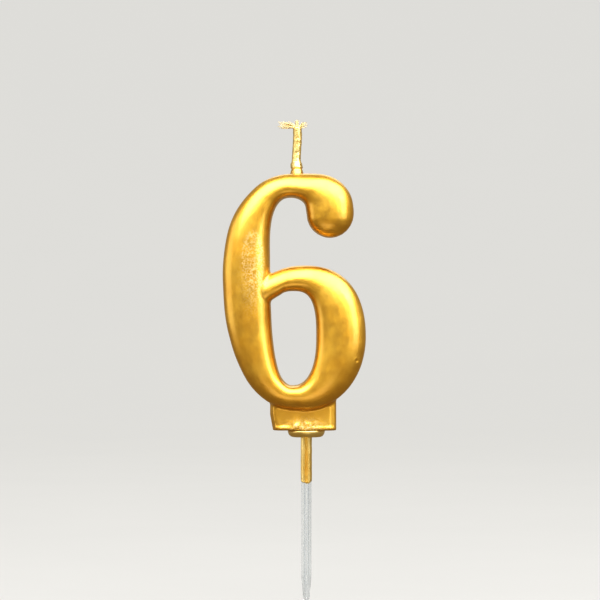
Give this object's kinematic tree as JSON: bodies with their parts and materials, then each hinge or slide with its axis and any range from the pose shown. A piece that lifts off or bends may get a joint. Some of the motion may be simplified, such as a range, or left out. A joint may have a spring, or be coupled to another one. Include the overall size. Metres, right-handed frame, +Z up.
{
  "type": "number birthday candle",
  "caption": "Gold-dipped wax numeral six on a small plinth, with a frayed wick on top and a clear cross-shaped cake pick with a seat collar below.",
  "frame": {"origin": "on the pick's axis, in the plane of the collar's underside, which rests on the cake", "axes": "+Z up along the pick towards the numeral, numeral facing -Y, +X to the numeral's right as it is read"},
  "size_m": [0.0381, 0.0137, 0.1329],
  "materials": {
    "paraffin": "satin",
    "gold_lacquer": "satin",
    "cotton": "matte",
    "gold_wax": "satin",
    "clear_plastic": "gloss",
    "gold_film": "satin"
  },
  "bodies": {
    "root": {"wax_numeral": "paraffin", "gold_coat": "gold_lacquer", "wick": "cotton", "wick_coat": "gold_wax", "pick": "clear_plastic", "pick_coat": "gold_film"}
  },
  "joints": []
}
